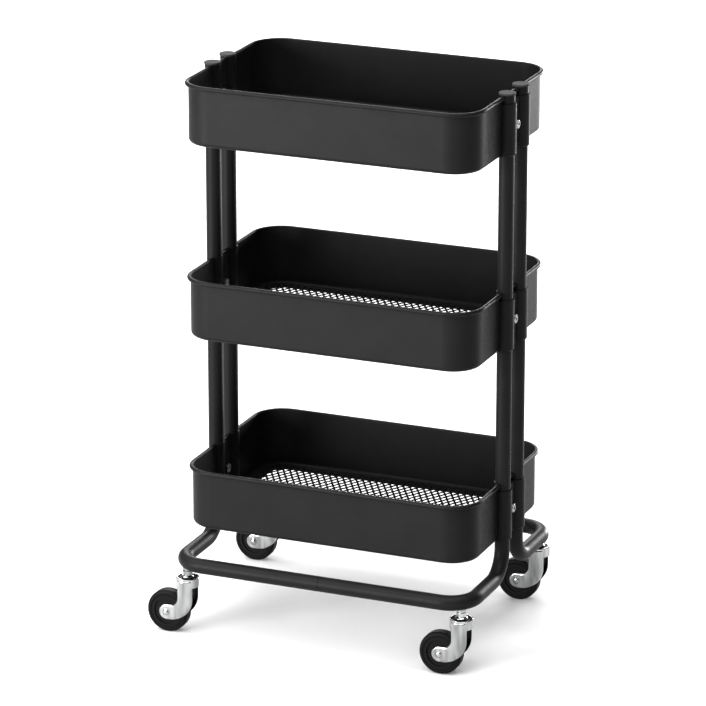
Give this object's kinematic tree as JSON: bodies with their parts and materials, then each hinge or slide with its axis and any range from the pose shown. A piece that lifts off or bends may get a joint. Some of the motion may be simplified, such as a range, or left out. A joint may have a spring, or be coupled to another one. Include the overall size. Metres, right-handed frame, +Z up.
{
  "type": "utility trolley",
  "caption": "Tiered steel utility trolley: rounded trays with mesh floors clamped between tubular uprights, rolling on swivel castors.",
  "frame": {"origin": "on the floor, under the middle of the whole trolley's box with its castors trailing towards -X", "axes": "+Z up; X along the trays' long sides, the castors trail to -X; the long front side faces -Y"},
  "size_m": [0.4846, 0.34, 0.78],
  "materials": {
    "powder_coat": "matte black powder coat",
    "cap_plastic": "moulded black plastic",
    "zinc_steel": "bright zinc plated",
    "castor_chrome": "bright chrome plate",
    "bearing_steel": "zinc plated",
    "hub_plastic": "moulded black plastic",
    "tyre_rubber": "hard black tread, satin"
  },
  "bodies": {
    "frame": {"front_left_base_tube": "powder_coat", "front_right_base_tube": "powder_coat", "rear_left_base_tube": "powder_coat", "rear_right_base_tube": "powder_coat", "front_left_middle_tube": "powder_coat", "front_left_upper_tube": "powder_coat", "front_left_end_cap": "cap_plastic", "front_right_middle_tube": "powder_coat", "front_right_upper_tube": "powder_coat", "front_right_end_cap": "cap_plastic", "rear_left_middle_tube": "powder_coat", "rear_left_upper_tube": "powder_coat", "rear_left_end_cap": "cap_plastic", "rear_right_middle_tube": "powder_coat", "rear_right_upper_tube": "powder_coat", "rear_right_end_cap": "cap_plastic", "bottom_tray": "powder_coat", "bottom_mesh_floor": "powder_coat", "bottom_left_bracket": "powder_coat", "bottom_right_bracket": "powder_coat", "middle_tray": "powder_coat", "middle_mesh_floor": "powder_coat", "middle_left_bracket": "powder_coat", "middle_right_bracket": "powder_coat", "top_tray": "powder_coat", "top_mesh_floor": "powder_coat", "top_left_bracket": "powder_coat", "top_right_bracket": "powder_coat", "bracket_bolts": "zinc_steel", "bracket_nuts": "zinc_steel", "castor_inserts": "bearing_steel", "front_left_castor_stem": "bearing_steel", "front_left_castor_cone_nut": "castor_chrome", "front_right_castor_stem": "bearing_steel", "front_right_castor_cone_nut": "castor_chrome", "rear_left_castor_stem": "bearing_steel", "rear_left_castor_cone_nut": "castor_chrome", "rear_right_castor_stem": "bearing_steel", "rear_right_castor_cone_nut": "castor_chrome"},
    "front_left_swivel": {"front_left_castor_fork": "castor_chrome", "front_left_castor_axle": "castor_chrome", "front_left_castor_swivel_balls": "bearing_steel"},
    "front_left_wheel": {"front_left_castor_wheel_hub": "hub_plastic", "front_left_castor_tyre": "tyre_rubber"},
    "front_right_swivel": {"front_right_castor_fork": "castor_chrome", "front_right_castor_axle": "castor_chrome", "front_right_castor_swivel_balls": "bearing_steel"},
    "front_right_wheel": {"front_right_castor_wheel_hub": "hub_plastic", "front_right_castor_tyre": "tyre_rubber"},
    "rear_left_swivel": {"rear_left_castor_fork": "castor_chrome", "rear_left_castor_axle": "castor_chrome", "rear_left_castor_swivel_balls": "bearing_steel"},
    "rear_left_wheel": {"rear_left_castor_wheel_hub": "hub_plastic", "rear_left_castor_tyre": "tyre_rubber"},
    "rear_right_swivel": {"rear_right_castor_fork": "castor_chrome", "rear_right_castor_axle": "castor_chrome", "rear_right_castor_swivel_balls": "bearing_steel"},
    "rear_right_wheel": {"rear_right_castor_wheel_hub": "hub_plastic", "rear_right_castor_tyre": "tyre_rubber"}
  },
  "joints": [
    {"name": "front_left_swivel_turn", "type": "hinge", "parent": "frame", "child": "front_left_swivel", "pos_m": [-0.18428, -0.14866, 0.0805], "axis": [0, 0, 1], "continuous": true},
    {"name": "front_left_wheel_spin", "type": "hinge", "parent": "front_left_swivel", "child": "front_left_wheel", "pos_m": [-0.21228, -0.14866, 0.03], "axis": [0, 1, 0], "continuous": true},
    {"name": "front_right_swivel_turn", "type": "hinge", "parent": "frame", "child": "front_right_swivel", "pos_m": [0.21884, -0.14866, 0.0805], "axis": [0, 0, 1], "continuous": true},
    {"name": "front_right_wheel_spin", "type": "hinge", "parent": "front_right_swivel", "child": "front_right_wheel", "pos_m": [0.19084, -0.14866, 0.03], "axis": [0, 1, 0], "continuous": true},
    {"name": "rear_left_swivel_turn", "type": "hinge", "parent": "frame", "child": "rear_left_swivel", "pos_m": [-0.18428, 0.14866, 0.0805], "axis": [0, 0, 1], "continuous": true},
    {"name": "rear_left_wheel_spin", "type": "hinge", "parent": "rear_left_swivel", "child": "rear_left_wheel", "pos_m": [-0.21228, 0.14866, 0.03], "axis": [0, 1, 0], "continuous": true},
    {"name": "rear_right_swivel_turn", "type": "hinge", "parent": "frame", "child": "rear_right_swivel", "pos_m": [0.21884, 0.14866, 0.0805], "axis": [0, 0, 1], "continuous": true},
    {"name": "rear_right_wheel_spin", "type": "hinge", "parent": "rear_right_swivel", "child": "rear_right_wheel", "pos_m": [0.19084, 0.14866, 0.03], "axis": [0, 1, 0], "continuous": true}
  ]
}
